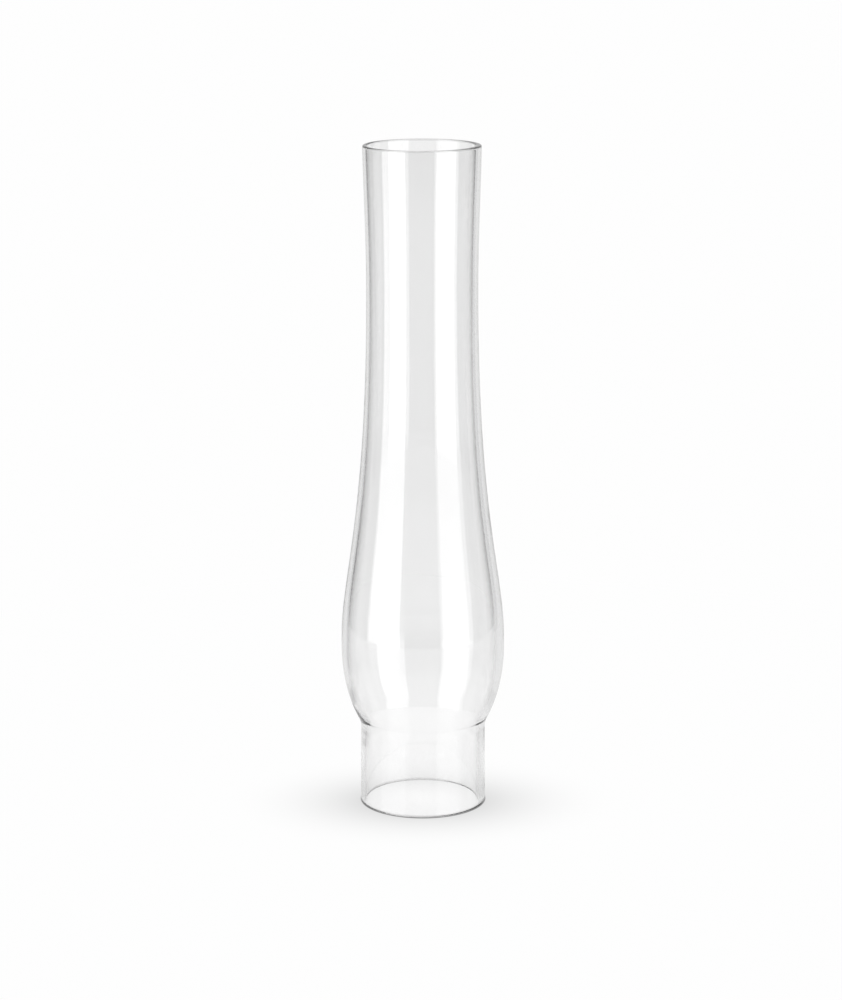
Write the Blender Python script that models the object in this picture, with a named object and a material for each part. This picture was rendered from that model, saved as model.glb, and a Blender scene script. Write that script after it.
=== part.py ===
"""Glass chimney of a flat-wick oil lamp, blown in one piece.

The chimney stands on the foot of its collar, with its axis on Z and the foot at Z = 0.
A closed outline of the wall is drawn in the XZ half-plane and spun once around the axis,
which leaves a tube that is open at both ends. All sizes are in metres.
"""

import math

import bmesh
import bpy
from mathutils import Vector

# Lengths along the axis
HEIGHT = 0.2100
COLLAR_HEIGHT = 0.0264      # the straight part that a burner's gallery holds
BULB_RISE = 0.0283          # from the top of the collar to the widest ring
FLARE_LENGTH = 0.0434       # from the slimmest ring up to the mouth

# Outside radii
FOOT_RADIUS = 0.0200
COLLAR_DRAFT = 0.0002       # the collar is this much slimmer at its top than at its foot
BULB_RADIUS = 0.0258
WAIST_RADIUS = 0.01735
MOUTH_RADIUS = 0.0183

# Wall thickness, square to the surface
COLLAR_WALL = 0.0018
BULB_WALL = 0.0023
WAIST_WALL = 0.00145
MOUTH_WALL = 0.0016
RIM_FLAT = 0.0006           # the flat that the rounded edges leave on the foot and on the mouth

# Shape of the curves between those sizes. A pull is how far a curve's handle reaches,
# as a share of the height that the curve spans, or of its width for the pull out.
SHOULDER_PULL_OUT = 1.18
SHOULDER_PULL_UP = 0.42
BULB_PULL_DOWN = 0.07
BULB_PULL_UP = 0.17
WAIST_PULL_DOWN = 0.65
WAIST_PULL_UP = 0.41
MOUTH_PULL = 0.20

# Fineness of the mesh
SEGMENTS = 48
UNDERSIDE_STEPS = 12
TAPER_STEPS = 16
FLARE_STEPS = 7
RIM_STEPS = 3

# Clear glass
GLASS_COLOUR = (0.93, 0.95, 0.95, 1.0)
GLASS_ROUGHNESS = 0.02
GLASS_IOR = 1.47


def curve_points(start, start_handle, end_handle, end, steps):
    """Points of one Bezier stretch and its tangents, without the end point."""
    points = []
    for step in range(steps):
        t = step / steps
        s = 1.0 - t
        place = s**3 * start + 3 * s * s * t * start_handle + 3 * s * t * t * end_handle + t**3 * end
        tangent = (
            s * s * (start_handle - start) + 2 * s * t * (end_handle - start_handle) + t * t * (end - end_handle)
        )
        points.append((place, tangent.normalized()))
    return points


def outer_outline():
    """Outside of the wall from the foot up to the mouth, as (radius, height) points and tangents."""
    up = Vector((0.0, 1.0))
    foot = Vector((FOOT_RADIUS, 0.0))
    collar_top = Vector((FOOT_RADIUS - COLLAR_DRAFT, COLLAR_HEIGHT))
    bulb = Vector((BULB_RADIUS, COLLAR_HEIGHT + BULB_RISE))
    waist = Vector((WAIST_RADIUS, HEIGHT - FLARE_LENGTH))
    mouth = Vector((MOUTH_RADIUS, HEIGHT))

    taper_length = waist.y - bulb.y
    shoulder_handle = Vector((SHOULDER_PULL_OUT * (bulb.x - collar_top.x), SHOULDER_PULL_UP * BULB_RISE))
    collar_direction = (collar_top - foot).normalized()

    points = [(foot, collar_direction)]
    points += curve_points(
        collar_top,
        collar_top + shoulder_handle,
        bulb - up * (BULB_PULL_DOWN * BULB_RISE),
        bulb,
        UNDERSIDE_STEPS,
    )
    points += curve_points(
        bulb,
        bulb + up * (BULB_PULL_UP * taper_length),
        waist - up * (WAIST_PULL_DOWN * taper_length),
        waist,
        TAPER_STEPS,
    )
    points += curve_points(
        waist,
        waist + up * (WAIST_PULL_UP * FLARE_LENGTH),
        mouth - up * (MOUTH_PULL * FLARE_LENGTH),
        mouth,
        FLARE_STEPS,
    )
    points.append((mouth, up))

    # The corner at the collar's top faces halfway between the collar and the underside.
    corner, underside_direction = points[1]
    points[1] = (corner, (collar_direction + underside_direction).normalized())
    return points


def ease(share):
    """A smooth step from 0 to 1."""
    share = min(max(share, 0.0), 1.0)
    return share * share * (3.0 - 2.0 * share)


def wall_at(height):
    """Wall thickness at a height: it thickens into the bulb, thins up to the waist and thickens at the mouth."""
    bulb_height = COLLAR_HEIGHT + BULB_RISE
    waist_height = HEIGHT - FLARE_LENGTH
    if height < COLLAR_HEIGHT:
        return COLLAR_WALL
    if height < bulb_height:
        return COLLAR_WALL + (BULB_WALL - COLLAR_WALL) * ease((height - COLLAR_HEIGHT) / BULB_RISE)
    if height < waist_height:
        share = (height - bulb_height) / (waist_height - bulb_height)
        return BULB_WALL + (WAIST_WALL - BULB_WALL) * ease(share)
    return WAIST_WALL + (MOUTH_WALL - WAIST_WALL) * ease((height - waist_height) / FLARE_LENGTH)


def inner_outline(outer):
    """Inside of the wall, set square to the outside by the wall's thickness at each height."""
    inner = []
    for place, tangent in outer:
        inward = Vector((-tangent.y, tangent.x))
        inner.append(place + inward * wall_at(place.y))
    inner[0].y = 0.0
    inner[-1].y = HEIGHT
    return inner


def rounded_corner(corner, before, after, radius):
    """Points of a round edge: it replaces a corner between the directions towards before and after."""
    start = corner + before * radius
    end = corner + after * radius
    centre = corner + (before + after) * radius
    points = []
    for step in range(RIM_STEPS + 1):
        angle = 0.5 * math.pi * step / RIM_STEPS
        points.append(centre + (start - centre) * math.cos(angle) + (end - centre) * math.sin(angle))
    return points


def wall_outline():
    """Closed outline of the wall: up the outside, over the mouth, down the inside and under the foot."""
    outer = outer_outline()
    inner = inner_outline(outer)
    outside = [place for place, _ in outer]

    up = Vector((0.0, 1.0))
    down = -up
    outward = Vector((1.0, 0.0))
    inward = -outward
    foot_radius = 0.5 * (COLLAR_WALL - RIM_FLAT)
    mouth_radius = 0.5 * (MOUTH_WALL - RIM_FLAT)

    outline = rounded_corner(outside[0], inward, up, foot_radius)
    outline += outside[1:-1]
    outline += rounded_corner(outside[-1], down, inward, mouth_radius)
    outline += rounded_corner(inner[-1], outward, down, mouth_radius)
    outline += inner[-2:0:-1]
    outline += rounded_corner(inner[0], up, outward, foot_radius)
    return outline


def glass_material():
    material = bpy.data.materials.new("clear_glass")
    material.use_nodes = True
    shader = material.node_tree.nodes["Principled BSDF"]
    shader.inputs["Base Color"].default_value = GLASS_COLOUR
    shader.inputs["Roughness"].default_value = GLASS_ROUGHNESS
    shader.inputs["Metallic"].default_value = 0.0
    shader.inputs["IOR"].default_value = GLASS_IOR
    shader.inputs["Transmission Weight"].default_value = 1.0
    return material


def spun_mesh(name, outline):
    """Mesh of a closed (radius, height) outline that is spun once around Z."""
    work = bmesh.new()
    verts = [work.verts.new((point.x, 0.0, point.y)) for point in outline]
    edges = [work.edges.new((first, second)) for first, second in zip(verts, verts[1:] + verts[:1])]
    bmesh.ops.spin(
        work,
        geom=verts + edges,
        cent=(0.0, 0.0, 0.0),
        axis=(0.0, 0.0, 1.0),
        angle=2.0 * math.pi,
        steps=SEGMENTS,
        use_merge=True,
    )
    bmesh.ops.recalc_face_normals(work, faces=work.faces)
    mesh = bpy.data.meshes.new(name)
    work.to_mesh(mesh)
    work.free()
    return mesh


def build_chimney():
    mesh = spun_mesh("glass_chimney", wall_outline())
    mesh.shade_smooth()
    mesh.set_sharp_from_angle(angle=math.radians(25.0))
    mesh.materials.append(glass_material())
    chimney = bpy.data.objects.new("glass_chimney", mesh)
    bpy.context.scene.collection.objects.link(chimney)


def main():
    for old in list(bpy.data.objects):
        bpy.data.objects.remove(old, do_unlink=True)
    build_chimney()


main()
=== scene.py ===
# %% [markdown]
# # A glass chimney for an oil lamp
#
# The chimney of a flat-wick lamp is one thin wall of clear glass, blown and then turned in the flame. It has
# a straight collar that stands in the burner, a low bulb round the flame, and a long taper that draws the
# hot air up to a slim neck. Glass has almost no colour of its own, so this lesson is about two things: a wall
# that is accurate on both of its sides, and a room that is worth reflecting.
#
# The imported model comes first. It is the frame: the chimney's height and the radii of its rings are read
# from it.

# %% The frame
import math

import bmesh
import bpy
from mathutils import Matrix, Vector
from mathutils.geometry import interpolate_bezier


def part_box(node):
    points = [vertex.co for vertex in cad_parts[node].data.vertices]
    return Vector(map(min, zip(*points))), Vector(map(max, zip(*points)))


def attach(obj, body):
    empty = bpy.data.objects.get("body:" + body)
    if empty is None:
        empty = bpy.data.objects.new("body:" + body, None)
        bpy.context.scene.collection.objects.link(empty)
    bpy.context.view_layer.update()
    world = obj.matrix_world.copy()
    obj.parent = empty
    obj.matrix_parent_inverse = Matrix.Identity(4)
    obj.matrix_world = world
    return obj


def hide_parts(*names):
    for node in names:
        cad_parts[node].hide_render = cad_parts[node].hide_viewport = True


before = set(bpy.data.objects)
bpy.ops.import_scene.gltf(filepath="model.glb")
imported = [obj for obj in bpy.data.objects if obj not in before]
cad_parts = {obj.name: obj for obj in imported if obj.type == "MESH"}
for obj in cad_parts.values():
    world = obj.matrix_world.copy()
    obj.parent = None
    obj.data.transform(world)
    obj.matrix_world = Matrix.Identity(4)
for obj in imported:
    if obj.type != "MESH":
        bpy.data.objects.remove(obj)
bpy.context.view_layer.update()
chimney_low, chimney_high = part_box("glass_chimney")
chimney_height = chimney_high.z - chimney_low.z
widest_radius = 0.5 * (chimney_high.x - chimney_low.x)
print(f"the chimney is {1000 * chimney_height:.1f} mm tall and {2000 * widest_radius:.1f} mm across")

# %% [markdown]
# ## The camera
#
# A long lens from almost a metre away keeps the sides of the glass nearly parallel. The camera looks down at
# about 13 degrees, which opens the mouth into a thin ellipse and shows the foot as a wider one.

# %% Camera
LENS = 105.0                        # millimetres
CAMERA_DISTANCE = 0.8936
CAMERA_HEIGHT = 0.3067
CAMERA_PITCH = math.radians(13.12)
CAMERA_ROLL = math.radians(-0.1)
CAMERA_SIDE = -0.0005

camera_data = bpy.data.cameras.new("camera")
camera_data.lens = LENS
camera = bpy.data.objects.new("camera", camera_data)
camera.location = (CAMERA_SIDE, -CAMERA_DISTANCE, CAMERA_HEIGHT)
level_view = Matrix.Rotation(math.radians(90.0) - CAMERA_PITCH, 4, "X")
camera.rotation_euler = (level_view @ Matrix.Rotation(CAMERA_ROLL, 4, "Z")).to_euler()
bpy.context.scene.collection.objects.link(camera)
bpy.context.scene.camera = camera
print(f"the camera is {CAMERA_DISTANCE:.2f} m away and {CAMERA_HEIGHT:.2f} m up")

# %% [markdown]
# ## Shader maths as plain expressions
#
# A node tree is easier to read as a formula. `Wire` wraps one output socket, and `+`, `-`, `*`, `/` and `**`
# on wires add Math nodes. `Graph.node` adds any other node: its settings first, then the values or wires of
# its sockets. A few shapes come back in every material here, so `Graph` has a name for each of them.

# %% Wires
class Wire:
    """One number, colour or vector in a node tree."""

    def __init__(self, graph, socket):
        self.graph = graph
        self.socket = socket

    def other(self, name):
        """Another output of the same node."""
        return Wire(self.graph, self.socket.node.outputs[name])

    def __add__(self, value):
        return self.graph.maths("ADD", self, value)

    def __radd__(self, value):
        return self.graph.maths("ADD", value, self)

    def __sub__(self, value):
        return self.graph.maths("SUBTRACT", self, value)

    def __rsub__(self, value):
        return self.graph.maths("SUBTRACT", value, self)

    def __mul__(self, value):
        return self.graph.maths("MULTIPLY", self, value)

    def __rmul__(self, value):
        return self.graph.maths("MULTIPLY", value, self)

    def __truediv__(self, value):
        return self.graph.maths("DIVIDE", self, value)

    def __rtruediv__(self, value):
        return self.graph.maths("DIVIDE", value, self)

    def __pow__(self, value):
        return self.graph.maths("POWER", self, value)


# %% Graphs
class Graph:
    """A node tree that is being written."""

    def __init__(self, owner):
        owner.use_nodes = True
        self.tree = owner.node_tree
        self.tree.nodes.clear()

    def node(self, kind, settings=None, inputs=None):
        made = self.tree.nodes.new(kind)
        for name, value in (settings or {}).items():
            setattr(made, name, value)
        for name, value in (inputs or {}).items():
            if isinstance(value, Wire):
                self.tree.links.new(value.socket, made.inputs[name])
            else:
                made.inputs[name].default_value = value
        return Wire(self, made.outputs[0]) if made.outputs else None

    def maths(self, operation, *values):
        return self.node("ShaderNodeMath", {"operation": operation}, dict(enumerate(values)))

    def ramp(self, value, start, end, start_level=0.0):
        """An even change from start_level at the start to 1 at the end, and level outside them."""
        limits = {"From Min": start, "From Max": end, "To Min": start_level}
        return self.node("ShaderNodeMapRange", {}, {"Value": value, **limits})

    def step(self, value, edge, soft):
        """0 below the edge and 1 above it, with a smooth change that is `soft` wide."""
        limits = {"From Min": edge - 0.5 * soft, "From Max": edge + 0.5 * soft}
        smooth = {"interpolation_type": "SMOOTHSTEP"}
        return self.node("ShaderNodeMapRange", smooth, {"Value": value, **limits})

    def between(self, value, low, high, soft):
        """1 between low and high and 0 outside them."""
        return self.step(value, low, soft) - self.step(value, high, soft)

    def grey(self, level):
        """A colour with this level of red, green and blue."""
        return self.node("ShaderNodeCombineColor", {}, {0: level, 1: level, 2: level})

    def bounced(self, kind):
        """1 for a ray that has bounced in this way at least once, and 0 for any other ray."""
        return self.maths("GREATER_THAN", self.node("ShaderNodeLightPath").other(f"{kind} Depth"), 0.0)


# %% [markdown]
# ## The studio
#
# Clear glass shows the room. Two tall softboxes stand left and right in front of it, and a pale sweep stands
# behind. The rest of the room is dark, but for a dim card on each side. A vertical wall of glass turns a
# mirror image by twice its own angle, so the softboxes become the two white bands on the neck, and the dark
# gap between them the grey band in its middle. Light that grazes the inside of the wall comes from close to
# the edge of the sweep. That edge sets how dark the two upright lines near the sides of the glass are, and it
# leans a little in its lower part, which keeps the lines dark all the way up the neck.
#
# The world draws this room by direction, and only rays that the glass or the board has mirrored see it. All
# that the camera sees, straight or through the glass, is the sweep itself, plain and pale on every side.

# %% Values of the studio
DEGREES = 180.0 / math.pi
WHITE = (1.0, 1.0, 1.0, 1.0)
SWEEP_LIGHT = 0.99
BOARD_ALBEDO = 0.93
FLOOR_LIGHT = SWEEP_LIGHT / BOARD_ALBEDO   # what makes the board exactly as bright as the sweep
MIRRORED_SWEEP = 0.80               # the sweep, as a turned mirror shows it
LEFT_SOFTBOX_LIGHT = 2.4
RIGHT_SOFTBOX_LIGHT = 2.2
LEFT_CARD_LIGHT = 0.30
RIGHT_CARD_LIGHT = 0.45
DARK_ROOM_LIGHT = 0.02
LEFT_SOFTBOX = (-85.0, -33.0)       # degrees round from the camera's side, unless it says degrees up
RIGHT_SOFTBOX = (28.0, 75.5)
SOFTBOX_ELEVATION = (-60.0, 62.0)   # degrees up
SOFTBOX_EDGE = 1.5
LEFT_CARD = (-114.0, -99.0)
RIGHT_CARD = (99.0, 114.0)
CARD_EDGE = 6.0
SWEEP_START = 137.3                 # the sweep stands further round than this, either way
SWEEP_TURN = 2.8                    # both its edges are turned this far to the left
SWEEP_LEAN = 1.1                    # its edges draw back by this many degrees for each degree up
SWEEP_LEAN_LEVEL = -10.5            # degrees up, where they stand as given above
SWEEP_LEAN_TOP = -3.0               # degrees up, where the leaning part ends
SWEEP_LEAN_TOP_EDGE = 3.0
SWEEP_EDGE = 7.0
SWEEP_TOP = 50.0                    # degrees up
SWEEP_TOP_EDGE = 20.0
print("the softboxes cover", LEFT_SOFTBOX, "and", RIGHT_SOFTBOX, "degrees")


# %% The studio, as a world
def degrees_round(graph, x, y):
    """Degrees round the glass from the camera's side, above zero to the right and below it to the left."""
    return DEGREES * graph.maths("ARCTAN2", x, -1.0 * y)


def mirrored_sweep(graph, azimuth, elevation):
    """The sweep's light, by direction."""
    away = graph.maths("ABSOLUTE", azimuth + SWEEP_TURN)
    leaning = 1.0 - graph.step(elevation, SWEEP_LEAN_TOP, SWEEP_LEAN_TOP_EDGE)
    drawn_back = SWEEP_LEAN * leaning * (elevation - SWEEP_LEAN_LEVEL)
    below_top = 1.0 - graph.step(elevation, SWEEP_TOP, SWEEP_TOP_EDGE)
    return MIRRORED_SWEEP * graph.step(away - drawn_back, SWEEP_START, SWEEP_EDGE) * below_top


def studio_world():
    world = bpy.data.worlds.new("studio")
    world.cycles.sampling_method = "NONE"
    graph = Graph(world)
    x = graph.node("ShaderNodeSeparateXYZ", {}, {0: graph.node("ShaderNodeTexCoord")})
    azimuth = degrees_round(graph, x, x.other("Y"))
    elevation = DEGREES * graph.maths("ARCSINE", x.other("Z"))

    left_softbox = LEFT_SOFTBOX_LIGHT * graph.between(azimuth, *LEFT_SOFTBOX, SOFTBOX_EDGE)
    right_softbox = RIGHT_SOFTBOX_LIGHT * graph.between(azimuth, *RIGHT_SOFTBOX, SOFTBOX_EDGE)
    in_height = graph.between(elevation, *SOFTBOX_ELEVATION, SOFTBOX_EDGE)
    softboxes = (left_softbox + right_softbox) * in_height
    left_card = LEFT_CARD_LIGHT * graph.between(azimuth, *LEFT_CARD, CARD_EDGE)
    right_card = RIGHT_CARD_LIGHT * graph.between(azimuth, *RIGHT_CARD, CARD_EDGE)
    sweep = mirrored_sweep(graph, azimuth, elevation)
    mirrored_room = softboxes + left_card + right_card + sweep + DARK_ROOM_LIGHT

    seen = SWEEP_LIGHT + graph.bounced("Glossy") * (mirrored_room - SWEEP_LIGHT)
    strength = seen + graph.bounced("Diffuse") * (FLOOR_LIGHT - seen)
    background = graph.node("ShaderNodeBackground", {}, {"Color": WHITE, "Strength": strength})
    graph.node("ShaderNodeOutputWorld", {}, {"Surface": background})
    return world


bpy.context.scene.world = studio_world()
bpy.context.scene.view_settings.view_transform = "Standard"
print(f"the world has {len(bpy.context.scene.world.node_tree.nodes)} nodes")

# %% [markdown]
# ## The painted shade round the foot
#
# The glass stands on a round white board, which is exactly as bright as the sweep, so the two run into each
# other. Clear glass in even light casts almost no shadow, yet the foot takes a little light from the board
# all round. That shade is painted into the board's colour here, so it is free of noise. It fades over a few
# centimetres and reaches further to the sides than to the front and back. A thin painted contact shadow marks
# where the foot touches, and a fainter painted shade lies inside it, against the wall and mostly at the back.

# %% Painted shade round the foot
# painted shadow on the board's colour, round the foot
SHADE_DEPTH = 0.248
SHADE_START = 0.0190
SHADE_START_EDGE = 0.001
SHADE_END = 0.065
SHADE_FALL = 2.36                   # how fast it fades: the power of an even fall
SHADE_SQUEEZE = 1.38                # the shade is this much shorter from front to back than across
SHADE_FORWARD = 0.003               # its middle is this far in front of the axis
# painted contact shadow: a thin dark ring under the foot's rim
CONTACT_SHADOW_RING = (0.0186, 0.0200)
CONTACT_SHADOW_EDGE = 0.0006
CONTACT_SHADOW_DEPTH = 0.75
# painted shade inside the foot, against the wall
INNER_SHADE = 0.14                  # inside the foot, against the wall
INNER_SHADE_RADII = (0.0020, 0.0187)
INNER_SHADE_FRONT = 0.2             # of it, at the front


def left_by_painted_shade(graph, x, y, radius):
    """Share of the board's light that the painted shades and the painted contact shadow leave."""
    along = SHADE_SQUEEZE * (y + SHADE_FORWARD)
    reach = (x * x + along * along) ** 0.5
    outside_foot = graph.step(radius, SHADE_START, SHADE_START_EDGE)
    shade = SHADE_DEPTH * outside_foot * graph.ramp(reach, SHADE_END, SHADE_START) ** SHADE_FALL

    against_wall = graph.ramp(radius, *INNER_SHADE_RADII)
    wall_radius = INNER_SHADE_RADII[1]
    towards_back = graph.ramp(y, -wall_radius, wall_radius, INNER_SHADE_FRONT)
    inner_shade = INNER_SHADE * (1.0 - outside_foot) * against_wall * towards_back

    # painted contact shadow under the foot's rim
    contact_shadow = CONTACT_SHADOW_DEPTH * graph.between(radius, *CONTACT_SHADOW_RING, CONTACT_SHADOW_EDGE)
    return (1.0 - shade) * (1.0 - inner_shade) * (1.0 - contact_shadow)


# %% [markdown]
# ## The board in the glass, with painted reflections of light and shade
#
# The bulb and the collar mirror the board more than the room. A board is brighter under a softbox, and darker
# where something keeps the softbox's light away. The glass gathers such patches into the pale and grey zones
# of its lower half, although they are hard to see on the board itself. Here they are painted light and shade,
# laid out by direction round the foot and by distance from it, and only a mirrored ray sees them.

# %% Painted glows and shadows
# painted reflection: the board's brightness in the glass, with painted pools of light and painted shadows
PAINTED_REFLECTION_LEVEL = 0.84               # the board in the glass, next to the board itself
GLOW_EDGE = 20.0                    # degrees round
FRONT_GLOW = 0.40                   # more, where the softboxes stand over it
FRONT_HALF = 85.0                   # degrees round
FRONT_REACH = 0.160
FRONT_REACH_EDGE = 0.050
BACK_GLOW = 0.18                    # more, close behind the foot
BACK_START = 133.0                  # degrees round
BACK_REACH = 0.064
BACK_REACH_EDGE = 0.016
SIDE_GLOW = 0.45                    # more, in a bright strip past the outer end of each softbox
SIDE_STRIP = (90.0, 104.0)          # degrees round
SIDE_STRIP_EDGE = 8.0
SIDE_STRIP_REACH = (0.080, 0.145)
SIDE_STRIP_REACH_EDGE = 0.030
SHADOW_EDGE = 10.0                  # degrees round
LEFT_SHADOW = (-134.0, -108.0)      # degrees round, away from the right softbox
LEFT_SHADOW_DEPTH = 0.34
LEFT_SHADOW_START = 0.150
LEFT_SHADOW_START_EDGE = 0.060
RIGHT_SHADOW = (100.0, 120.0)       # degrees round, away from the left softbox
RIGHT_SHADOW_DEPTH = 0.22
RIGHT_SHADOW_START = 0.190
RIGHT_SHADOW_START_EDGE = 0.030
# a painted shadow spot, darker, behind the foot on each side
SHADOW_SPOT = (112.0, 150.0)               # degrees round: a darker spot behind the foot on each side
SHADOW_SPOT_RING = (0.080, 0.112)
SHADOW_SPOT_RING_EDGE = 0.008
SHADOW_SPOT_DEPTH = 0.12
LEFT_SHADOW_SPOT_DEPTH = 0.20              # more, on the left


def glow(graph, away, radius):
    """Painted brightness of the board in the glass, before its painted shadows."""
    in_front = 1.0 - graph.step(away, FRONT_HALF, GLOW_EDGE)
    in_front = in_front * (1.0 - graph.step(radius, FRONT_REACH, FRONT_REACH_EDGE))
    behind = graph.step(away, BACK_START, GLOW_EDGE)
    behind = behind * (1.0 - graph.step(radius, BACK_REACH, BACK_REACH_EDGE))
    strip = graph.between(away, *SIDE_STRIP, SIDE_STRIP_EDGE)
    strip = strip * graph.between(radius, *SIDE_STRIP_REACH, SIDE_STRIP_REACH_EDGE)
    return PAINTED_REFLECTION_LEVEL + FRONT_GLOW * in_front + BACK_GLOW * behind + SIDE_GLOW * strip


def painted_board_reflection(graph, x, y, radius):
    """Painted brightness of the board in the glass, with its painted light and painted shadows."""
    azimuth = degrees_round(graph, x, y)
    away = graph.maths("ABSOLUTE", azimuth)
    left_shadow = LEFT_SHADOW_DEPTH * graph.between(azimuth, *LEFT_SHADOW, SHADOW_EDGE)
    left_shadow = left_shadow * graph.step(radius, LEFT_SHADOW_START, LEFT_SHADOW_START_EDGE)
    right_shadow = RIGHT_SHADOW_DEPTH * graph.between(azimuth, *RIGHT_SHADOW, SHADOW_EDGE)
    right_shadow = right_shadow * graph.step(radius, RIGHT_SHADOW_START, RIGHT_SHADOW_START_EDGE)
    shadow = left_shadow + right_shadow

    on_left = graph.maths("LESS_THAN", x, 0.0)
    shadow_spot = graph.between(away, *SHADOW_SPOT, SHADOW_EDGE) * graph.between(radius, *SHADOW_SPOT_RING, SHADOW_SPOT_RING_EDGE)
    shadow_spot = shadow_spot * (SHADOW_SPOT_DEPTH + LEFT_SHADOW_SPOT_DEPTH * on_left)
    return glow(graph, away, radius) * (1.0 - shadow) * (1.0 - shadow_spot)


# %% [markdown]
# ## The board
#
# The board is a plain disc, just under the foot so that the two never share a plane. It is matt to the eye.
# For mirrored rays it also has a faint sheen, in which the softboxes lie as long pale streaks, as they do on
# a painted board that is seen at a flat angle.

# %% Board
BOARD_RADIUS = 0.280
BOARD_DROP = 0.0001
BOARD_SEGMENTS = 128
BOARD_ROUGHNESS = 0.9
SHEEN_ROUGHNESS = 0.12


def board_material():
    material = bpy.data.materials.new("white_board")
    graph = Graph(material)
    x = graph.node("ShaderNodeSeparateXYZ", {}, {0: graph.node("ShaderNodeTexCoord").other("Object")})
    y = x.other("Y")
    radius = (x * x + y * y) ** 0.5
    mirrored = graph.bounced("Glossy")
    # the board's colour holds the painted reflection, for mirrored rays only, and the painted shade round the
    # foot
    seen = 1.0 + mirrored * (painted_board_reflection(graph, x, y, radius) - 1.0)
    surface = graph.node(
        "ShaderNodeBsdfPrincipled",
        {},
        {
            "Base Color": graph.grey(BOARD_ALBEDO * seen * left_by_painted_shade(graph, x, y, radius)),
            "Roughness": BOARD_ROUGHNESS,
            "Specular IOR Level": 0.0,
            "Coat Weight": mirrored,
            "Coat Roughness": SHEEN_ROUGHNESS,
        },
    )
    graph.node("ShaderNodeOutputMaterial", {}, {"Surface": surface})
    return material


def build_board():
    work = bmesh.new()
    bmesh.ops.create_circle(work, cap_ends=True, segments=BOARD_SEGMENTS, radius=BOARD_RADIUS)
    bmesh.ops.translate(work, verts=work.verts, vec=(0.0, 0.0, chimney_low.z - BOARD_DROP))
    mesh = bpy.data.meshes.new("board")
    work.to_mesh(mesh)
    work.free()
    mesh.materials.append(board_material())
    board = bpy.data.objects.new("board", mesh)
    bpy.context.scene.collection.objects.link(board)
    return board


build_board()
print(f"the board is {2000 * BOARD_RADIUS:.0f} mm across")

# %% [markdown]
# ## The line of the wall
#
# The outside is four stretches: a collar that is almost a cylinder, the bulb's underside, the long taper, and
# the flare to the mouth. Each curved stretch is one Bezier curve between two rings of the frame. The inside
# follows the outside at the wall's own thickness, which is greatest in the bulb, where the glass was
# stretched least.

# %% Rings of the frame
COLLAR_HEIGHT = 0.0264
BULB_HEIGHT = 0.0547
FLARE_LENGTH = 0.0434
RING_REACH = 0.0006                 # the frame's own ring lies within this of the height that is asked for


def outside_radius(height):
    """Radius of the frame's outer wall at one of its rings."""
    spots = [vert.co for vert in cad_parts["glass_chimney"].data.vertices]
    return max(math.hypot(shadow_spot.x, shadow_spot.y) for shadow_spot in spots if abs(shadow_spot.z - height) < RING_REACH)


waist_height = chimney_high.z - FLARE_LENGTH
foot_ring = Vector((outside_radius(chimney_low.z), chimney_low.z))
collar_ring = Vector((outside_radius(COLLAR_HEIGHT), COLLAR_HEIGHT))
bulb_ring = Vector((outside_radius(BULB_HEIGHT), BULB_HEIGHT))
waist_ring = Vector((outside_radius(waist_height), waist_height))
mouth_ring = Vector((outside_radius(chimney_high.z), chimney_high.z))
for name, ring in (
    ("foot", foot_ring),
    ("collar", collar_ring),
    ("bulb", bulb_ring),
    ("waist", waist_ring),
    ("mouth", mouth_ring),
):
    print(f"the {name} ring is {2000 * ring.x:.2f} mm across at {1000 * ring.y:.1f} mm")

# %% Outside of the wall
COLLAR_ROWS = 12
UNDERSIDE_ROWS = 44
SHOULDER_CLEAR = 3                  # rows left out above the corner, for its round edge
TAPER_ROWS = 64
FLARE_ROWS = 32
SHOULDER_PULL_OUT = 1.18            # of the width from the collar to the bulb
SHOULDER_PULL_UP = 0.42             # of the height from the collar to the bulb, and so on up
BULB_PULL_DOWN = 0.07
BULB_PULL_UP = 0.17
WAIST_PULL_DOWN = 0.65
WAIST_PULL_UP = 0.41
MOUTH_PULL = 0.20


def stretch(start, pull_start, pull_end, end, rows):
    """Points of a Bezier stretch, without its last one."""
    points = interpolate_bezier(start, start + pull_start, end - pull_end, end, rows + 1)
    return [point.copy() for point in points[:-1]]


rise = bulb_ring.y - collar_ring.y
taper = waist_ring.y - bulb_ring.y
flare = mouth_ring.y - waist_ring.y
shoulder_pull = Vector((SHOULDER_PULL_OUT * (bulb_ring.x - collar_ring.x), SHOULDER_PULL_UP * rise))
up = Vector((0.0, 1.0))

underside = stretch(collar_ring, shoulder_pull, BULB_PULL_DOWN * rise * up, bulb_ring, UNDERSIDE_ROWS)
outside = [foot_ring.lerp(collar_ring, row / COLLAR_ROWS) for row in range(COLLAR_ROWS)]
outside += underside[:1] + underside[SHOULDER_CLEAR:]
outside += stretch(bulb_ring, BULB_PULL_UP * taper * up, WAIST_PULL_DOWN * taper * up, waist_ring, TAPER_ROWS)
outside += stretch(waist_ring, WAIST_PULL_UP * flare * up, MOUTH_PULL * flare * up, mouth_ring, FLARE_ROWS)
outside.append(mouth_ring)
print(f"the outside has {len(outside)} rows")

# %% Inside of the wall
COLLAR_WALL = 0.0018
BULB_WALL = 0.0023
WAIST_WALL = 0.00145
MOUTH_WALL = 0.0016


def ease(share):
    """A smooth step from 0 to 1."""
    share = min(max(share, 0.0), 1.0)
    return share * share * (3.0 - 2.0 * share)


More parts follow.
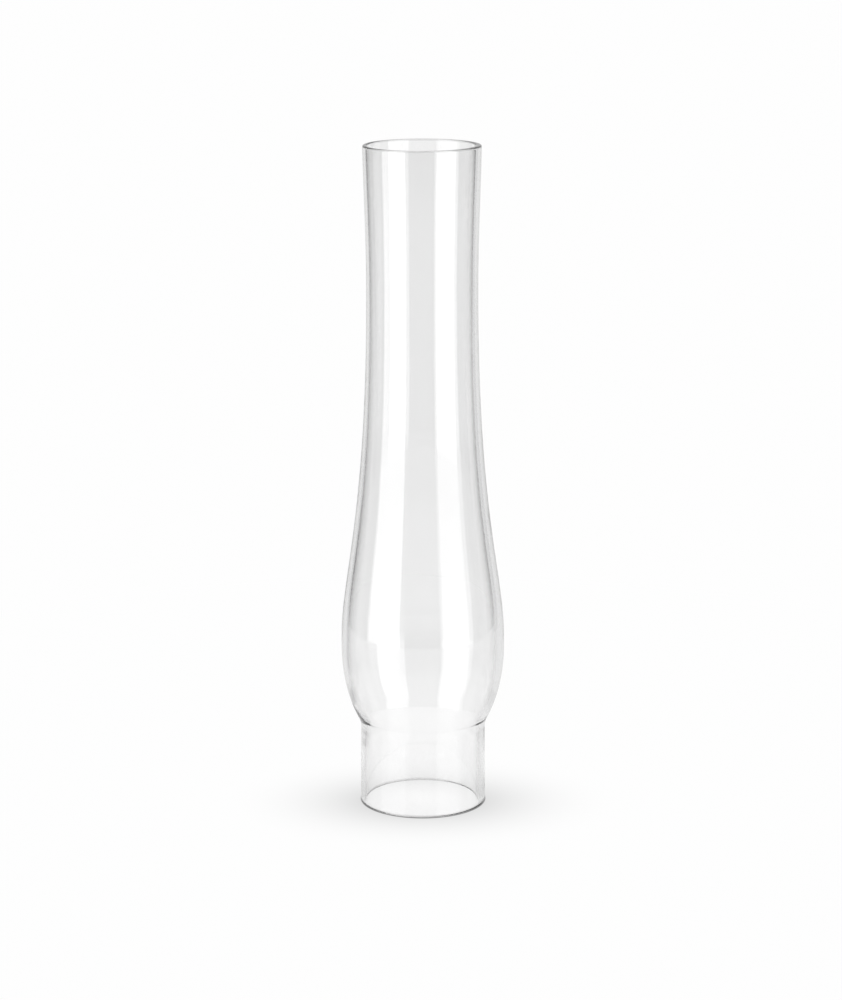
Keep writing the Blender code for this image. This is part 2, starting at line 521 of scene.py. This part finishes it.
def wall_at(height):
    """Thickness of the wall, as the glass was drawn out: most in the bulb, least at the waist."""
    if height < collar_ring.y:
        return COLLAR_WALL
    if height < bulb_ring.y:
        return COLLAR_WALL + (BULB_WALL - COLLAR_WALL) * ease((height - collar_ring.y) / rise)
    if height < waist_ring.y:
        return BULB_WALL + (WAIST_WALL - BULB_WALL) * ease((height - bulb_ring.y) / taper)
    return WAIST_WALL + (MOUTH_WALL - WAIST_WALL) * ease((height - waist_ring.y) / flare)


def inside_of(outline):
    """The outline moved square to itself by the wall's thickness."""
    moved = []
    for row, point in enumerate(outline):
        before = outline[max(row - 1, 0)]
        after = outline[min(row + 1, len(outline) - 1)]
        along = (after - before).normalized()
        moved.append(point + wall_at(point.y) * Vector((-along.y, along.x)))
    moved[0].y = outline[0].y
    moved[-1].y = outline[-1].y
    return moved


inside = inside_of(outside)
print(f"the wall is {1000 * BULB_WALL:.1f} mm thick in the bulb and {1000 * WAIST_WALL:.2f} mm at the waist")

# %% [markdown]
# ## Spinning the glass
#
# The whole outline is one closed line: up the outside, over the mouth, down the inside and under the foot.
# One spin makes the wall. Blown glass never has quite an even wall, so the inside then moves a third of a
# millimetre to the left, and a small fold of thicker glass is left in the shoulder on that side. Bevels round
# the rims, as a flame does when it softens a cut edge, and ease the corner of the shoulder.

# %% Glass wall
AROUND = 192
BORE_SHIFT = -0.0003                # to the left
FOLD_SHIFT = 0.00038                # the other way, in the fold
FOLD_REACH = 0.0045                 # up and down from the collar's top


def spin_wall(work, outer, inner):
    """The closed wall, spun about Z, with its bore off centre."""
    side = work.verts.layers.float.new("bore")
    verts = [work.verts.new((point.x, 0.0, point.y)) for point in outer + inner[::-1]]
    for vert in verts[len(outer):]:
        vert[side] = 1.0
    edges = [work.edges.new(pair) for pair in zip(verts, verts[1:] + verts[:1])]
    bmesh.ops.spin(
        work,
        geom=verts + edges,
        cent=(0.0, 0.0, 0.0),
        axis=(0.0, 0.0, 1.0),
        angle=2.0 * math.pi,
        steps=AROUND,
        use_merge=True,
    )
    for vert in work.verts:
        if vert[side] > 0.5:
            fold = math.exp(-(((vert.co.z - collar_ring.y) / FOLD_REACH) ** 2))
            leftward = max(0.0, -vert.co.x / vert.co.xy.length)
            vert.co.x += BORE_SHIFT + FOLD_SHIFT * fold * leftward**2


# %% Round edges
RIM_ROUND = 0.00045
RIM_STEPS = 6
SHOULDER_ROUND = 0.0016
SHOULDER_STEPS = 8
SAME_HEIGHT = 0.000001              # two heights closer than this are one
SAME_RADIUS = 0.0002                # an edge whose ends differ by less than this runs round the axis


def is_ring_edge(edge, heights):
    """Whether an edge runs round the axis at one of these heights."""
    first, second = (vert.co for vert in edge.verts)
    if abs(first.xy.length - second.xy.length) >= SAME_RADIUS:
        return False
    return any(max(abs(first.z - height), abs(second.z - height)) < SAME_HEIGHT for height in heights)


def round_rings(work, heights, offset, steps):
    """Rounds the rings that lie at these heights, on both sides of the wall."""
    rings = [edge for edge in work.edges if is_ring_edge(edge, heights)]
    bmesh.ops.bevel(
        work,
        geom=rings,
        offset=offset,
        offset_type="OFFSET",
        segments=steps,
        profile=0.5,
        affect="EDGES",
        clamp_overlap=True,
        material=-1,
    )
    return len(rings)


# %% The glass
def build_glass():
    work = bmesh.new()
    spin_wall(work, outside, inside)
    rims = (chimney_low.z, chimney_high.z)
    shoulder = (collar_ring.y, inside[outside.index(collar_ring)].y)
    print(round_rings(work, rims, RIM_ROUND, RIM_STEPS), "rim edges are rounded")
    print(round_rings(work, shoulder, SHOULDER_ROUND, SHOULDER_STEPS), "shoulder edges are rounded")
    bmesh.ops.recalc_face_normals(work, faces=work.faces)
    print(f"the glass fills {1e6 * work.calc_volume():.1f} cubic centimetres")
    mesh = bpy.data.meshes.new("blown_glass")
    work.to_mesh(mesh)
    work.free()
    mesh.shade_smooth()
    glass = bpy.data.objects.new("blown_glass", mesh)
    bpy.context.scene.collection.objects.link(glass)
    return glass


glass = build_glass()
print(f"the glass has {len(glass.data.polygons)} faces")

# %% [markdown]
# ## Clear glass
#
# Soda-lime glass bends light by 1.47 and swallows a few per cent of it in each wall: a little more where the
# wall is thick, and much more in the rims, where the light runs along the wall; painted shade darkens the
# rims further. What tells blown glass from a moulded tube is on the surface: cords, which are faint streaks
# that run up the wall where the gather was pulled, and slow waves from the blowing. Both only tilt the
# surface by a fraction of a degree, enough to make the edges of the white bands wander. The collar also
# carries a few fine scuffs from the burner.

# %% How clear it is
CLARITY = 0.972                     # of the light that one wall lets through
CORD_TINT = 0.014                   # taken off that by the cords, as each tint below is
MOUTH_TINT = 0.022                  # where the wall thickens again towards the mouth
MOUTH_TINT_START = 0.196
MOUTH_TINT_EDGE = 0.030
BULB_TINT = 0.016                   # from the upper half of the bulb to the start of the taper
BULB_TINT_HEIGHTS = (0.066, 0.118)
BULB_TINT_EDGE = 0.016
# both rims: part absorption along the wall, part painted shade
RIM_TINT_AND_SHADE = 0.26                     # in the mouth's rim
FOOT_TINT_AND_SHADE = 0.30                    # in the foot's rim
RIM_HEIGHT = 0.0005
RIM_EDGE = 0.0003


def clearness(graph, z, cords):
    """Share of the light that one wall lets through, with painted shade added in both rims."""
    mouth = MOUTH_TINT * graph.step(z, MOUTH_TINT_START, MOUTH_TINT_EDGE)
    bulb = BULB_TINT * graph.between(z, *BULB_TINT_HEIGHTS, BULB_TINT_EDGE)
    rim = RIM_TINT_AND_SHADE * graph.step(z, chimney_high.z - RIM_HEIGHT, RIM_EDGE)
    foot = FOOT_TINT_AND_SHADE * (1.0 - graph.step(z, chimney_low.z + RIM_HEIGHT, RIM_EDGE))
    return CLARITY - CORD_TINT * cords - mouth - bulb - rim - foot


# %% Glass material
GLASS_IOR = 1.47
CORD_SCALE = 13.0                   # cords to a radian
CORD_DETAIL = 2.0
CORD_DEPTH = 0.000006
WAVE_SCALE = 55.0                   # waves to a metre
WAVE_DETAIL = 1.0
WAVE_DEPTH = 0.00003
SCUFF_SCALE = 420.0                 # scuffs to a metre
SCUFF_DETAIL = 3.0
SCUFF_START = 0.60
SCUFF_EDGE = 0.12
SCUFF_FADE = 0.004                  # the scuffs fade out over this height, at the collar's top
SCUFF_ROUGHNESS = 0.05
POLISH_ROUGHNESS = 0.002


def noise(graph, place, scale, detail):
    """A soft, even pattern that is the same in each run."""
    return graph.node("ShaderNodeTexNoise", {}, {"Vector": place, "Scale": scale, "Detail": detail})


def glass_material():
    material = bpy.data.materials.new("clear_glass")
    graph = Graph(material)
    place = graph.node("ShaderNodeTexCoord").other("Object")
    x = graph.node("ShaderNodeSeparateXYZ", {}, {0: place})
    y, z = x.other("Y"), x.other("Z")
    radius = (x * x + y * y) ** 0.5

    around = graph.node("ShaderNodeCombineXYZ", {}, {0: x / radius, 1: y / radius, 2: z})
    cords = noise(graph, around, CORD_SCALE, CORD_DETAIL)
    waves = noise(graph, place, WAVE_SCALE, WAVE_DETAIL)
    scuffs = noise(graph, place, SCUFF_SCALE, SCUFF_DETAIL)
    in_collar = 1.0 - graph.step(z, collar_ring.y, SCUFF_FADE)
    scuffed = in_collar * graph.step(scuffs, SCUFF_START, SCUFF_EDGE)
    height = CORD_DEPTH * cords + WAVE_DEPTH * waves

    surface = graph.node(
        "ShaderNodeBsdfPrincipled",
        {},
        {
            "Base Color": graph.grey(clearness(graph, z, cords)),
            "Roughness": POLISH_ROUGHNESS + SCUFF_ROUGHNESS * scuffed,
            "IOR": GLASS_IOR,
            "Transmission Weight": 1.0,
            "Normal": graph.node("ShaderNodeBump", {}, {"Strength": 1.0, "Distance": 1.0, "Height": height}),
        },
    )
    graph.node("ShaderNodeOutputMaterial", {}, {"Surface": surface})
    return material


glass.data.materials.append(glass_material())
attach(glass, "root")
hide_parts("glass_chimney")
glass.visible_diffuse = False       # the board's colour already holds the shade that the glass casts
print(f"the glass material has {len(glass.data.materials[0].node_tree.nodes)} nodes")
